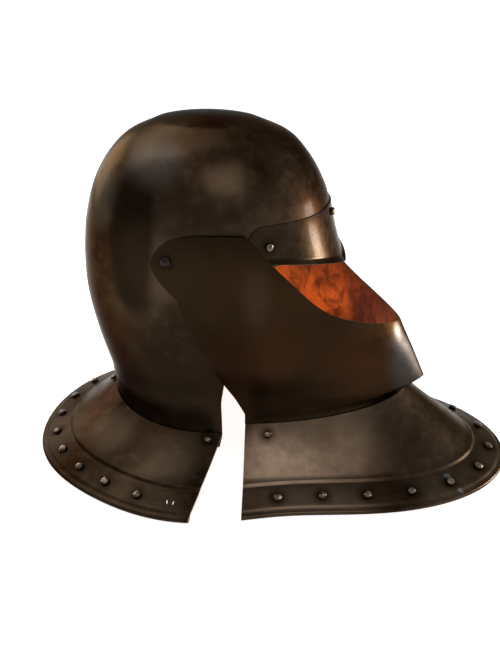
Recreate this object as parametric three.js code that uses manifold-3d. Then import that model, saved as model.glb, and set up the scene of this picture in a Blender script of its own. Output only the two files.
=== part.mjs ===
// Close helmet of sheet steel: a raised skull, a hinged bevor, a brow plate and two gorget plates.
// Millimetres, +Z up, +X towards the face, +Y to the wearer's left. The floor is z = 0.
import * as THREE from 'three';
import { mergeVertices } from 'three/addons/utils/BufferGeometryUtils.js';
import Module from 'manifold-3d';

const wasm = await Module();
wasm.setup();

// Driving dimensions of the steel and its clearances
const sheet = 1.6;
const browSheet = 1.5;
const seatGap = 0.35;
const swingGap = 0.7;
const holeGap = 0.6;
const neckGap = 0.9;

// Driving dimensions of the skull
const crownHeight = 324;
const skullAxisX = -60;
const skullFront = 114;
const skullBack = 119;
const skullHalf = 100;
const skullFaceX = -31;
const faceTop = crownHeight * 0.6852;
const faceStraight = faceTop * 0.45;
const faceShoulder = faceTop * 0.98;
const faceSlant = 6;
const faceLean = 3;
const faceCurveReach = 62;
const skullNeckSide = 44;
const skullNeckBack = 53;
const flangeReach = 11;
const underGap = 0.9;

// Driving dimensions of the brow plate
const browTop = crownHeight * 0.76235;
const browPeak = crownHeight * 0.5957;
const browSideRise = 27.2;
const browReach = 127;
const browHalfAngle = 61;
const browLip = 2.6;
const browLipHeight = 4.5;
const browCorner = 14;
const browCornerStart = 0.88;
const browCornerLift = 0.4;
const browLean = 1.3;
const browRows = [0, 0.1, 0.3, 0.55, 0.8, 1];

// Driving dimensions of the bevor
const prowReach = 149;
const prowHeight = 82;
const chinReach = 123.6;
const chinHeight = 138.3;
const bevorNeckReach = 131;
const bevorNeckHalf = 82;
const bevorNeckSide = 54;
const bevorNeckFront = 72;
const bevorCornerAngle = 74.7;
const bevorSharpness = 1.45;
const ridgeRise = 9.5;
const bevorFlangeReach = 11;
const armLobeAngle = 7;
const armLobeWidth = 0.3;
const armLobeStart = 0.7;
const armLobeEnd = 1.02;

// Driving dimensions of the pivots
const pivotX = -73;
const pivotZ = crownHeight * 0.675926;
const pivotShank = 5;

// Driving dimensions of the gorget plates
const rimMiddleX = -50.5;
const rimRadius = 190;
const borderWidth = 28;
const borderRise = 15.5;
const stepHeight = 3.2;
const stepWidth = 4.5;
const hemRadius = 2.3;
const undersideDrop = 1.15;
const rearPlateAngle = 87.4;
const frontPlateAngle = 71.2;

// Driving dimensions of the rivets
const borderHead = 8.6;
const neckHead = 7.6;
const browHead = 7.6;
const pivotHead = 9.2;
const headHeight = 3.4;
const domeShoulderWidth = 0.38;
const domeShoulderHeight = 0.75;
const rivetShank = 4;
const rivetInset = 15.9;
const neckRivetInset = 7.5;
const rearRivets = 12;
const rearRivetPitch = 37.4;
const frontRivets = 13;
const frontRivetPitch = 40.8;
const rearCornerShare = 0.028;
const frontCornerShare = 0.045;
const browRivetAngle = 52;
const browSideRivetRise = 0.46;
const browCentreRivetRise = 0.86;
const tailLength = 1;

// The waves of the rim's outline, as shares of its mean radius
const rimWaves = [1, 0.1515, 0.169, 0.098, 0.054, 0.0165, -0.004];

// The skull's sections from neck to crown. Heights are shares of crownHeight, reaches of their own sizes.
const skullRows = [
  { height: 0.25, front: 0.877, back: 0.825, half: 0.87 },
  { height: 0.375, front: 0.904, back: 0.93, half: 0.93 },
  { height: 0.51, front: 0.947, back: 0.997, half: 0.98 },
  { height: 0.66, front: 0.995, back: 0.985, half: 1 },
  { height: 0.765, front: 0.978, back: 0.93, half: 0.965 },
  { height: 0.835, front: 0.905, back: 0.858, half: 0.9 },
  { height: 0.897, front: 0.795, back: 0.75, half: 0.785 },
  { height: 0.947, front: 0.655, back: 0.606, half: 0.625 },
  { height: 0.984, front: 0.415, back: 0.39, half: 0.4 },
];
const skullNeckRow = { front: 0.877, back: 0.79, half: 0.84 };

// The bevor's upper edge in side view, from the arm's rear corner to the chin.
// along is the place on the edge, x a share of the reach from pivot to chin, z of the pivot's height.
const bevorEdge = [
  { along: 0, x: -0.03, z: 1.094 },
  { along: 0.08, x: 0.03, z: 1.102 },
  { along: 0.26, x: 0.312, z: 1.102 },
  { along: 0.33, x: 0.369, z: 1.083 },
  { along: 0.42, x: 0.4537, z: 0.9886 },
  { along: 0.52, x: 0.5509, z: 0.8895 },
  { along: 0.6, x: 0.6256, z: 0.8128 },
  { along: 0.67, x: 0.692, z: 0.7594 },
  { along: 0.75, x: 0.768, z: 0.717 },
  { along: 0.82, x: 0.838, z: 0.687 },
  { along: 0.91, x: 0.922, z: 0.656 },
  { along: 1, x: 1, z: 0.6315 },
];

// The bevor's median profile over the ridge, z and x as shares of the way from the prow to the chin
const prowRows = [
  { rise: 0, lean: 0 },
  { rise: 0.5, lean: 0.49 },
  { rise: 1, lean: 1 },
  { rise: 1.6, lean: 1.45 },
  { rise: 3, lean: 2.6 },
];

// Mesh densities
const skullSectors = 36;
const skullRings = 14;
const bevorRibs = 16;
const bevorRings = 10;
const browRibs = 26;
const plateStations = 26;
const rivetSides = 8;
const boreSides = 6;

const steel = (color, roughness, metalness = 0.85) =>
  new THREE.MeshStandardMaterial({ color, roughness, metalness });
const bronzedSteel = steel('#3b3026', 0.42);
const browSteel = steel('#40342a', 0.3);
const rivetSteel = steel('#7a6650', 0.45);
const pivotSteel = steel('#17140f', 0.5);

const radians = THREE.MathUtils.degToRad;
const clamp = THREE.MathUtils.clamp;
const lerp = THREE.MathUtils.lerp;
const smoothstep = THREE.MathUtils.smoothstep;
const point = (x, y, z) => new THREE.Vector3(x, y, z);

// A smooth curve through a table's rows: the value of one column where another has the given value
function readTable(rows, keyName, columnName, key) {
  let i = 0;
  while (i < rows.length - 2 && rows[i + 1][keyName] < key) {
    i += 1;
  }
  const before = rows[Math.max(i - 1, 0)];
  const low = rows[i];
  const high = rows[i + 1];
  const after = rows[Math.min(i + 2, rows.length - 1)];
  const span = high[keyName] - low[keyName];
  const t = clamp((key - low[keyName]) / span, 0, 1);
  const slope = (a, b) => ((b[columnName] - a[columnName]) / (b[keyName] - a[keyName])) * span;
  const startSlope = slope(before, high);
  const endSlope = slope(low, after);
  const step = high[columnName] - low[columnName];
  const cubic = startSlope + endSlope - 2 * step;
  const square = 3 * step - 2 * startSlope - endSlope;
  return low[columnName] + startSlope * t + square * t * t + cubic * t * t * t;
}

// Closed meshes
function meshFrom(positions, triangles) {
  const geometry = new THREE.BufferGeometry();
  geometry.setAttribute('position', new THREE.Float32BufferAttribute(positions, 3));
  geometry.setIndex(triangles);
  return geometry;
}

function toSolid(geometry) {
  const bare = geometry.index ? geometry.clone() : geometry;
  bare.deleteAttribute('normal');
  bare.deleteAttribute('uv');
  const merged = mergeVertices(bare, 1e-4);
  return new wasm.Manifold(new wasm.Mesh({
    numProp: 3,
    vertProperties: new Float32Array(merged.attributes.position.array),
    triVerts: new Uint32Array(merged.index.array),
  }));
}

function toGeometry(solid) {
  const mesh = solid.getMesh();
  const geometry = meshFrom(Array.from(mesh.vertProperties), Array.from(mesh.triVerts));
  geometry.computeVertexNormals();
  return geometry;
}

// The unit normals of a grid of points, on the side to the left of its rows
function gridNormals(grid, closed) {
  const rows = grid.length;
  const columns = grid[0].length;
  const wrap = (j) => (closed ? (j + columns) % columns : clamp(j, 0, columns - 1));
  return grid.map((row, i) => row.map((_, j) => {
    const up = grid[Math.min(i + 1, rows - 1)][j].clone().sub(grid[Math.max(i - 1, 0)][j]);
    const along = row[wrap(j + 1)].clone().sub(row[wrap(j - 1)]);
    return along.cross(up).normalize();
  }));
}

// A wall of even thickness behind an open grid of points
function wallFromGrid(grid, thickness) {
  const normals = gridNormals(grid, false);
  const rows = grid.length;
  const columns = grid[0].length;
  const inner = grid.map((row, i) => row.map((p, j) => p.clone().addScaledVector(normals[i][j], -thickness)));
  const positions = [...grid.flat(), ...inner.flat()].flatMap((p) => p.toArray());
  const outerAt = (i, j) => i * columns + j;
  const innerAt = (i, j) => rows * columns + i * columns + j;
  const triangles = [];
  const quad = (a, b, c, d) => triangles.push(a, b, c, a, c, d);
  for (let i = 0; i < rows - 1; i += 1) {
    for (let j = 0; j < columns - 1; j += 1) {
      quad(outerAt(i, j), outerAt(i, j + 1), outerAt(i + 1, j + 1), outerAt(i + 1, j));
      quad(innerAt(i, j), innerAt(i + 1, j), innerAt(i + 1, j + 1), innerAt(i, j + 1));
    }
  }
  for (let j = 0; j < columns - 1; j += 1) {
    quad(outerAt(0, j + 1), outerAt(0, j), innerAt(0, j), innerAt(0, j + 1));
    quad(outerAt(rows - 1, j), outerAt(rows - 1, j + 1), innerAt(rows - 1, j + 1), innerAt(rows - 1, j));
  }
  for (let i = 0; i < rows - 1; i += 1) {
    quad(outerAt(i, 0), outerAt(i + 1, 0), innerAt(i + 1, 0), innerAt(i, 0));
    quad(outerAt(i + 1, columns - 1), outerAt(i, columns - 1), innerAt(i, columns - 1), innerAt(i + 1, columns - 1));
  }
  return toSolid(meshFrom(positions, triangles));
}

// A bowl of even thickness from closed rings and a crown point
function wallFromRings(rings, crown, thickness) {
  const normals = gridNormals(rings, true);
  const count = rings.length;
  const sectors = rings[0].length;
  const inner = rings.map((ring, i) => ring.map((p, j) => p.clone().addScaledVector(normals[i][j], -thickness)));
  const crownInside = crown.clone().add(point(0, 0, -thickness));
  const points = [...rings.flat(), ...inner.flat(), crown, crownInside];
  const outerAt = (i, j) => i * sectors + (j % sectors);
  const innerAt = (i, j) => (count + i) * sectors + (j % sectors);
  const outerCrown = points.length - 2;
  const innerCrown = points.length - 1;
  const triangles = [];
  const quad = (a, b, c, d) => triangles.push(a, b, c, a, c, d);
  for (let j = 0; j < sectors; j += 1) {
    for (let i = 0; i < count - 1; i += 1) {
      quad(outerAt(i, j), outerAt(i, j + 1), outerAt(i + 1, j + 1), outerAt(i + 1, j));
      quad(innerAt(i, j), innerAt(i + 1, j), innerAt(i + 1, j + 1), innerAt(i, j + 1));
    }
    quad(outerAt(0, j + 1), outerAt(0, j), innerAt(0, j), innerAt(0, j + 1));
    triangles.push(outerAt(count - 1, j), outerAt(count - 1, j + 1), outerCrown);
    triangles.push(innerAt(count - 1, j + 1), innerAt(count - 1, j), innerCrown);
  }
  return toSolid(meshFrom(points.flatMap((p) => p.toArray()), triangles));
}

// A bar that follows stations in turn, each with the same closed section of points
function barFromSections(sections) {
  const corners = sections[0].length;
  const last = sections.length - 1;
  const start = sections[0][0];
  const flatten = (p) => new THREE.Vector2(Math.hypot(p.x - start.x, p.y - start.y), p.z);
  const clockwise = THREE.ShapeUtils.isClockWise(sections[0].map(flatten));
  const rings = clockwise ? sections.map((section) => [...section].reverse()) : sections;
  const capFaces = THREE.ShapeUtils.triangulateShape(rings[0].map(flatten), []);
  const triangles = [];
  for (let i = 0; i < last; i += 1) {
    for (let j = 0; j < corners; j += 1) {
      const next = (j + 1) % corners;
      const [near, nearNext] = [i * corners + j, i * corners + next];
      const [far, farNext] = [near + corners, nearNext + corners];
      triangles.push(nearNext, near, far, nearNext, far, farNext);
    }
  }
  capFaces.forEach(([a, b, c]) => {
    triangles.push(a, b, c);
    triangles.push(last * corners + a, last * corners + c, last * corners + b);
  });
  return toSolid(meshFrom(rings.flat().flatMap((p) => p.toArray()), triangles));
}

// The skull's surface: its reach forwards, backwards and sideways at a height
function skullReach(height) {
  const share = height / crownHeight;
  const first = skullRows[0];
  if (share < first.height) {
    const t = smoothstep(share, skullNeckSide / crownHeight, first.height);
    return {
      front: skullFront * lerp(skullNeckRow.front, first.front, t),
      back: skullBack * lerp(skullNeckRow.back, first.back, t),
      half: skullHalf * lerp(skullNeckRow.half, first.half, t),
    };
  }
  return {
    front: skullFront * readTable(skullRows, 'height', 'front', share),
    back: skullBack * readTable(skullRows, 'height', 'back', share),
    half: skullHalf * readTable(skullRows, 'height', 'half', share),
  };
}

function skullPoint(angle, height, proud = 0) {
  const reach = skullReach(height);
  const along = Math.cos(angle) > 0 ? reach.front : reach.back;
  const x = skullAxisX + (along + proud) * Math.cos(angle);
  return point(x, (reach.half + proud) * Math.sin(angle), height);
}

const skullNeckHeight = (angle) => lerp(skullNeckSide, skullNeckBack, clamp(-Math.cos(angle), 0, 1) ** 2);

// The bevor's surface, at an angle from the front and a height
const bevorNeckHeight = (angle) => lerp(bevorNeckSide, bevorNeckFront, clamp(Math.cos(angle), 0, 1) ** 2);

const ridgeShare = (height, neckHeight) => clamp((height - neckHeight - underGap) / ridgeRise, 0, 1);

function bevorReach(height, neckHeight) {
  const rise = (height - prowHeight) / (chinHeight - prowHeight);
  const over = prowReach - (prowReach - chinReach) * readTable(prowRows, 'rise', 'lean', Math.max(rise, 0));
  return lerp(bevorNeckReach, over, ridgeShare(height, neckHeight)) - skullAxisX;
}

function bevorPoint(angle, height) {
  const proud = browSheet + seatGap + swingGap + sheet;
  const skull = skullReach(height);
  const neckHeight = bevorNeckHeight(angle);
  const widen = smoothstep(height, bevorNeckSide, skullRows[1].height * crownHeight);
  const half = lerp(bevorNeckHalf, skull.half + proud, widen);
  const back = skull.back + proud;
  const cosine = Math.cos(angle);
  const along = cosine > 0 ? bevorReach(height, neckHeight) : back;
  const sharpness = lerp(1, bevorSharpness, ridgeShare(height, neckHeight));
  const power = cosine > 0 ? lerp(1, sharpness, cosine) : 1;
  const side = Math.sign(Math.sin(angle)) * half * Math.abs(Math.sin(angle)) ** power;
  return point(skullAxisX + along * cosine, side, height);
}

// The rim's outline in plan, and a gorget plate's section between neck and rim
function rimPoint(angle) {
  const radius = rimRadius * rimWaves.reduce((sum, wave, k) => sum + wave * Math.cos(k * angle), 0);
  return point(rimMiddleX + radius * Math.cos(angle), radius * Math.sin(angle), 0);
}

// A frame at one station of a plate: place(inset, height) is the point that far in from the rim
function plateStation(neck, rim) {
  const inward = neck.clone().setZ(0).sub(rim);
  const width = inward.length();
  inward.normalize();
  const neckSlope = (neck.z - borderRise - stepHeight) / (width - borderWidth - stepWidth);
  const place = (inset, height) => rim.clone().addScaledVector(inward, inset).setZ(height);
  return { width, neckSlope, place, neckHeight: neck.z };
}

const borderHeight = (inset) => hemRadius * 2 + (borderRise - hemRadius * 2) * (inset / borderWidth);
const panelShares = [0.33, 0.66];

function plateSection({ width, neckHeight, place }) {
  const panelStart = borderWidth + stepWidth;
  const panelTop = borderRise + stepHeight;
  const outer = [
    place(width, neckHeight),
    ...panelShares.map((share) => place(
      lerp(width, panelStart, share),
      lerp(neckHeight, panelTop, share) - (1 - share) * share * hemRadius * 2,
    )),
    place(panelStart, panelTop),
    place(borderWidth, borderRise),
    place(rivetInset, borderHeight(rivetInset)),
    place(hemRadius * 2.2, borderHeight(hemRadius * 2.2)),
    place(hemRadius, hemRadius * 2),
    place(0, hemRadius),
    place(hemRadius * 0.6, 0),
    place(hemRadius * 1.6, 0),
    place(hemRadius * 2.2, hemRadius),
  ];
  const inner = [
    place(rivetInset, borderHeight(rivetInset) - sheet),
    place(borderWidth, borderRise - sheet),
    place(panelStart, panelTop - sheet),
    ...[...panelShares].reverse().map((share) => place(
      lerp(width, panelStart, share),
      lerp(neckHeight, panelTop, share) - (1 - share) * share * hemRadius * 2 - sheet * undersideDrop,
    )),
    place(width, neckHeight - sheet * undersideDrop),
  ];
  return [...outer, ...inner];
}

// Angles of the stations of both plates, with the neck and rim points that belong together
const rearNeckCorner = Math.acos((skullFaceX - skullAxisX) / (skullFront * skullNeckRow.front));

function rearStation(share) {
  const neckAngle = lerp(rearNeckCorner, 2 * Math.PI - rearNeckCorner, share);
  const rimAngle = lerp(radians(rearPlateAngle), 2 * Math.PI - radians(rearPlateAngle), share);
  return plateStation(skullPoint(neckAngle, skullNeckHeight(neckAngle), neckGap), rimPoint(rimAngle));
}

function frontStation(share) {
  const neckAngle = lerp(-radians(bevorCornerAngle), radians(bevorCornerAngle), share);
  const rimAngle = lerp(-radians(frontPlateAngle), radians(frontPlateAngle), share);
  const neck = bevorPoint(neckAngle, bevorNeckHeight(neckAngle));
  const outwards = point(Math.cos(neckAngle), Math.sin(neckAngle), 0);
  return plateStation(neck.addScaledVector(outwards, neckGap), rimPoint(rimAngle));
}

function gorgetPlate(station) {
  const shares = Array.from({ length: plateStations + 1 }, (_, i) => i / plateStations);
  return barFromSections(shares.map((share) => plateSection(station(share))));
}

// A point on a plate's panel under the neck edge, dropped by a depth below its upper face
function underPlate(station, share, inset, drop) {
  const { width, neckSlope, place, neckHeight } = station(share);
  return place(width - inset, neckHeight - inset * neckSlope - drop);
}

// How far the outer face of a neck flange and its corner lie below the plate's upper face
const flangeDrop = underGap + sheet * (undersideDrop + 0.5);
const cornerDrop = underGap + sheet * undersideDrop;

// The skull: rings from its neck flange to its crown, with the face cut away
function skullSolid() {
  const rings = [];
  const sectorAngle = (j) => (2 * Math.PI * j) / skullSectors;
  const ringAt = (pointAt) => Array.from({ length: skullSectors }, (_, j) => pointAt(sectorAngle(j)));
  const flangePoint = (angle, inset) => {
    const share = clamp((angle - rearNeckCorner) / (2 * Math.PI - 2 * rearNeckCorner), 0, 1);
    const under = underPlate(rearStation, share, inset, flangeDrop);
    const wall = skullPoint(angle, skullNeckHeight(angle));
    const outward = point(Math.cos(angle), Math.sin(angle), 0);
    return wall.addScaledVector(outward, inset).setZ(under.z);
  };
  rings.push(ringAt((angle) => flangePoint(angle, flangeReach)));
  rings.push(ringAt((angle) => flangePoint(angle, flangeReach / 2)));
  rings.push(ringAt((angle) => skullPoint(angle, skullNeckHeight(angle) - cornerDrop)));
  for (let i = 1; i <= skullRings; i += 1) {
    const turn = (i / (skullRings + 1)) * (Math.PI / 2);
    const topHeight = skullRows[skullRows.length - 1].height * crownHeight;
    const share = Math.sin(turn) / Math.sin((skullRings / (skullRings + 1)) * (Math.PI / 2));
    rings.push(ringAt((angle) => skullPoint(angle, lerp(skullNeckHeight(angle), topHeight, share))));
  }
  const bowl = wallFromRings(rings, point(skullAxisX, 0, crownHeight), sheet);
  const reach = prowReach + rimRadius;
  const face = new THREE.Shape();
  face.moveTo(skullFaceX, -sheet);
  face.lineTo(skullFaceX, skullNeckSide);
  face.lineTo(skullFaceX + faceSlant, faceStraight);
  face.quadraticCurveTo(skullFaceX + faceLean, faceShoulder, skullFaceX + faceCurveReach, faceTop);
  face.lineTo(reach, faceTop);
  face.lineTo(reach, -sheet);
  const cutter = new THREE.ExtrudeGeometry(face, { depth: 4 * skullHalf, bevelEnabled: false });
  cutter.rotateX(Math.PI / 2);
  cutter.translate(0, 2 * skullHalf, 0);
  return bowl.subtract(toSolid(cutter));
}

// The brow plate: a band over the forehead that droops to a peak and turns out along its lower edge
function browPoint(angle, share) {
  const cosine = Math.cos(angle);
  const edge = Math.abs(angle) / radians(browHalfAngle);
  const turn = clamp((edge - browCornerStart) / (1 - browCornerStart), 0, 1);
  const corner = browCorner * (1 - Math.sqrt(1 - turn * turn));
  const low = browPeak + browSideRise * Math.abs(Math.sin(angle)) + corner * browCornerLift;
  const height = lerp(low, browTop - corner, share);
  const skull = skullReach(height);
  const proud = seatGap + browSheet;
  const lean = clamp((browTop - height) / (browTop - browPeak), 0, 1) ** browLean;
  const top = skullReach(browTop).front + proud;
  const lip = browLip * clamp(1 - (height - low) / browLipHeight, 0, 1) * cosine;
  const along = top + (browReach - top) * lean + lip;
  return point(skullAxisX + along * cosine, (skull.half + proud + lip / 2) * Math.sin(angle), height);
}

function browSolid() {
  const grid = browRows.map((share) => Array.from({ length: browRibs + 1 }, (_, j) => {
    const across = (2 * j) / browRibs - 1;
    return browPoint(radians(browHalfAngle) * (1.5 * across - 0.5 * across ** 3), share);
  }));
  return wallFromGrid(grid, browSheet);
}

// The bevor: ribs from its neck to its upper edge, with an arm that widens round each pivot
const bevorEdgeAt = (along) => ({
  x: pivotX + (chinReach - pivotX) * readTable(bevorEdge, 'along', 'x', along),
  z: pivotZ * readTable(bevorEdge, 'along', 'z', along),
});

function bevorAngleAt(x, height) {
  const forward = bevorReach(height, bevorNeckSide);
  const backward = skullReach(height).back;
  const offset = x - skullAxisX;
  return Math.acos(clamp(offset / (offset > 0 ? forward : backward), -1, 1));
}

function bevorRib(along, share) {
  const edge = bevorEdgeAt(along);
  const edgeAngle = along >= 1 ? 0 : bevorAngleAt(edge.x, edge.z);
  const neckAngle = radians(bevorCornerAngle) * (1 - along);
  const swell = clamp((share - armLobeStart) / (armLobeEnd - armLobeStart), 0, 1);
  const lobe = radians(armLobeAngle) * Math.max(0, 1 - along / armLobeWidth) * Math.sin(Math.PI * swell);
  const angle = lerp(neckAngle, edgeAngle, share) + lobe;
  return { angle, height: lerp(bevorNeckHeight(neckAngle), edge.z, share) };
}

function bevorSolid() {
  const sides = Array.from({ length: 2 * bevorRibs + 1 }, (_, j) => j / bevorRibs - 1);
  const flangeRow = (inset) => sides.map((side) => {
    const neckAngle = radians(bevorCornerAngle) * side;
    const share = (side + 1) / 2;
    const wall = bevorPoint(neckAngle, bevorNeckHeight(neckAngle));
    const outward = point(Math.cos(neckAngle), Math.sin(neckAngle), 0);
    const under = underPlate(frontStation, share, inset, flangeDrop);
    return wall.addScaledVector(outward, inset).setZ(under.z);
  });
  const wallRow = (heightOf, shareOf) => sides.map((side) => {
    const along = 1 - Math.abs(side);
    const low = bevorNeckHeight(radians(bevorCornerAngle) * (1 - along));
    const top = bevorEdgeAt(along).z;
    const share = shareOf(low, top);
    const { angle } = bevorRib(along, share);
    return bevorPoint(Math.sign(side) * angle, heightOf(low, top, share));
  });
  const lowRow = (rise) => wallRow((low) => low + rise, (low, top) => Math.max(rise / (top - low), 0));
  const ridgeTop = underGap + ridgeRise;
  const upperRow = (step) => wallRow(
    (low, top, share) => lerp(low, top, share),
    (low, top) => lerp(ridgeTop / (top - low), 1, step),
  );
  const grid = [
    flangeRow(bevorFlangeReach),
    flangeRow(bevorFlangeReach / 2),
    ...[-cornerDrop, underGap, underGap + ridgeRise / 2].map(lowRow),
    ...Array.from({ length: bevorRings + 1 }, (_, i) => upperRow(i / bevorRings)),
  ];
  return wallFromGrid(grid, sheet);
}

// A rivet with a dome head at the origin, its shank going down
function rivetGeometry(head, shank, grip) {
  const profile = [
    [0, -grip],
    [shank / 2, -grip],
    [shank / 2, seatGap],
    [head / 2, seatGap],
    [head * domeShoulderWidth, seatGap + headHeight * domeShoulderHeight],
    [0, seatGap + headHeight],
  ];
  const lathe = new THREE.LatheGeometry(profile.map(([r, z]) => new THREE.Vector2(r, z)), rivetSides);
  lathe.rotateX(Math.PI / 2);
  return lathe;
}

function turnTo(geometry, seat) {
  const turn = new THREE.Quaternion().setFromUnitVectors(point(0, 0, 1), seat.normal);
  geometry.applyQuaternion(turn);
  geometry.translate(seat.at.x, seat.at.y, seat.at.z);
  return geometry;
}

function holeSolid(seat, shank) {
  const depth = flangeReach + sheet;
  const bore = new THREE.CylinderGeometry(shank / 2 + holeGap, shank / 2 + holeGap, 2 * depth, boreSides);
  bore.rotateX(Math.PI / 2);
  bore.rotateZ(Math.PI / 2);
  return toSolid(turnTo(bore, seat));
}

const drill = (solid, seats, shank) => seats.reduce((left, seat) => left.subtract(holeSolid(seat, shank)), solid);

// Where the rivets sit: a point on the outer face and its normal
function seatFrom(pointAt, a, b) {
  const small = 1e-3;
  const at = pointAt(a, b);
  const alongA = pointAt(a + small, b).sub(at);
  const alongB = pointAt(a, b + small).sub(at);
  const normal = alongA.cross(alongB).normalize();
  return { at, normal };
}

const borderPoint = (station) => (share, inset) => station(share).place(inset, borderHeight(inset));
const panelPoint = (station) => (share, inset) => underPlate(station, share, inset, 0);

function upward(seat) {
  if (seat.normal.z < 0) {
    seat.normal.negate();
  }
  return seat;
}

// Shares of the border row, evenly pitched from the median along the rim
function rowShares(station, count, pitch) {
  const steps = 400;
  const places = [{ share: 0.5, length: 0 }];
  let last = borderPoint(station)(0.5, rivetInset);
  for (let i = 1; i <= steps; i += 1) {
    const share = 0.5 + i / (2 * steps);
    const next = borderPoint(station)(share, rivetInset);
    places.push({ share, length: places[i - 1].length + next.distanceTo(last) });
    last = next;
  }
  return Array.from({ length: count }, (_, k) => {
    const offset = (k - (count - 1) / 2) * pitch;
    const near = places.find(({ length }) => length >= Math.abs(offset)) ?? places[steps];
    return 0.5 + Math.sign(offset) * (near.share - 0.5);
  });
}

const borderSeats = (station, count, pitch) => rowShares(station, count, pitch)
  .map((share) => upward(seatFrom(borderPoint(station), share, rivetInset)));
const rearSeats = borderSeats(rearStation, rearRivets, rearRivetPitch);
const frontSeats = borderSeats(frontStation, frontRivets, frontRivetPitch);
const neckSeat = (station, share) => upward(seatFrom(panelPoint(station), share, neckRivetInset));
const rearNeckSeats = {
  left: neckSeat(rearStation, rearCornerShare),
  right: neckSeat(rearStation, 1 - rearCornerShare),
  centre: neckSeat(rearStation, 0.5),
};
const frontNeckSeats = {
  right: neckSeat(frontStation, frontCornerShare),
  left: neckSeat(frontStation, 1 - frontCornerShare),
};

// The brow plate's rivets and the pivots, seated on the faces that they hold
function outwardSeat(seat) {
  if (seat.normal.dot(point(seat.at.x - skullAxisX, seat.at.y, 0)) < 0) {
    seat.normal.negate();
  }
  return seat;
}

const browSeats = {
  right: outwardSeat(seatFrom(browPoint, -radians(browRivetAngle), browSideRivetRise)),
  left: outwardSeat(seatFrom(browPoint, radians(browRivetAngle), browSideRivetRise)),
  centre: outwardSeat(seatFrom(browPoint, 0, browCentreRivetRise)),
};

function pivotSeat(side) {
  const angle = side * bevorAngleAt(pivotX, pivotZ);
  const at = bevorPoint(angle, pivotZ).setX(pivotX);
  return { at, normal: point(0, side, 0) };
}

const pivotSeats = { right: pivotSeat(-1), left: pivotSeat(1) };

// Assembly
const helmet = new THREE.Group();

function addPiece(name, geometry, material) {
  const mesh = new THREE.Mesh(geometry, material);
  mesh.name = name;
  helmet.add(mesh);
}

const neckSeatList = (seats) => Object.values(seats);
const skull = drill(
  drill(drill(skullSolid(), neckSeatList(rearNeckSeats), rivetShank), neckSeatList(browSeats), rivetShank),
  neckSeatList(pivotSeats),
  pivotShank,
);
const brow = drill(browSolid(), neckSeatList(browSeats), rivetShank);
const bevor = drill(
  drill(bevorSolid(), neckSeatList(frontNeckSeats), rivetShank),
  neckSeatList(pivotSeats),
  pivotShank,
);
const rearPlate = drill(
  drill(gorgetPlate(rearStation), rearSeats, rivetShank),
  neckSeatList(rearNeckSeats),
  rivetShank,
);
const frontPlate = drill(
  drill(gorgetPlate(frontStation), frontSeats, rivetShank),
  neckSeatList(frontNeckSeats),
  rivetShank,
);
addPiece('skull', toGeometry(skull), bronzedSteel);
addPiece('brow_plate', toGeometry(brow), browSteel);
addPiece('bevor', toGeometry(bevor), bronzedSteel);
addPiece('gorget_rear', toGeometry(rearPlate), bronzedSteel);
addPiece('gorget_front', toGeometry(frontPlate), bronzedSteel);

// Rivets: dome heads outside, shanks through the plates that they join
const borderGrip = sheet * 1.6;
const neckGrip = sheet * 2.6 + seatGap;
const browGrip = browSheet + sheet + seatGap + tailLength;
const pivotGrip = browSheet + seatGap + swingGap + sheet * 2 + tailLength;
const addRivet = (name, seat, head, shank, grip, material) =>
  addPiece(name, turnTo(rivetGeometry(head, shank, grip), seat), material);
const number = (k) => String(k + 1).padStart(2, '0');
rearSeats.forEach((seat, k) => {
  addRivet(`gorget_rear_rivet_${number(k)}`, seat, borderHead, rivetShank, borderGrip, rivetSteel);
});
frontSeats.forEach((seat, k) => {
  addRivet(`gorget_front_rivet_${number(k)}`, seat, borderHead, rivetShank, borderGrip, rivetSteel);
});
Object.entries(rearNeckSeats).forEach(([side, seat]) => {
  addRivet(`rear_neck_rivet_${side}`, seat, neckHead, rivetShank, neckGrip, rivetSteel);
});
Object.entries(frontNeckSeats).forEach(([side, seat]) => {
  addRivet(`front_neck_rivet_${side}`, seat, neckHead, rivetShank, neckGrip, rivetSteel);
});
Object.entries(browSeats).forEach(([side, seat]) => {
  addRivet(`brow_rivet_${side}`, seat, browHead, rivetShank, browGrip, rivetSteel);
});
Object.entries(pivotSeats).forEach(([side, seat]) => {
  addRivet(`pivot_rivet_${side}`, seat, pivotHead, pivotShank, pivotGrip, pivotSteel);
});

export default helmet;
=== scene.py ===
"""The finish of a close helmet: its steel shells, rivets and materials, built round the fixed frame."""

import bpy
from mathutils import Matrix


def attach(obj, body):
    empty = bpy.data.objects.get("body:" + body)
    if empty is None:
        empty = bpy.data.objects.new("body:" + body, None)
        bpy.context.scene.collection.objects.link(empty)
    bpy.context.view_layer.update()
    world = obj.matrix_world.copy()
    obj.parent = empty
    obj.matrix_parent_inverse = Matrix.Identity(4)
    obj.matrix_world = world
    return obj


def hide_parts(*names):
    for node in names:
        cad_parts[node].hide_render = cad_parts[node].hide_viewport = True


bl_info = {
    "name": "Close Helmet",
    "version": (1, 0, 0),
    "blender": (4, 5, 0),
    "location": "3D View > Sidebar > Helmet",
    "description": "Builds a bronzed steel close helmet with a hinged bevor and gorget plates",
    "category": "Add Mesh",
}

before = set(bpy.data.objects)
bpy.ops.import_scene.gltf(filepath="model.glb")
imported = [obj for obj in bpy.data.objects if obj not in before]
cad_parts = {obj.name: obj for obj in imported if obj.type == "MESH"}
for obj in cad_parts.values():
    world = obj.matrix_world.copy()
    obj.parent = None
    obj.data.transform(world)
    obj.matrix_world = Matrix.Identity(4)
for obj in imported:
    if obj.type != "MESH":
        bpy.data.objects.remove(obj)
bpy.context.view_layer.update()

import math
import random

import bmesh
import bpy
from mathutils import Matrix, Vector

MM = 0.001

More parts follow.
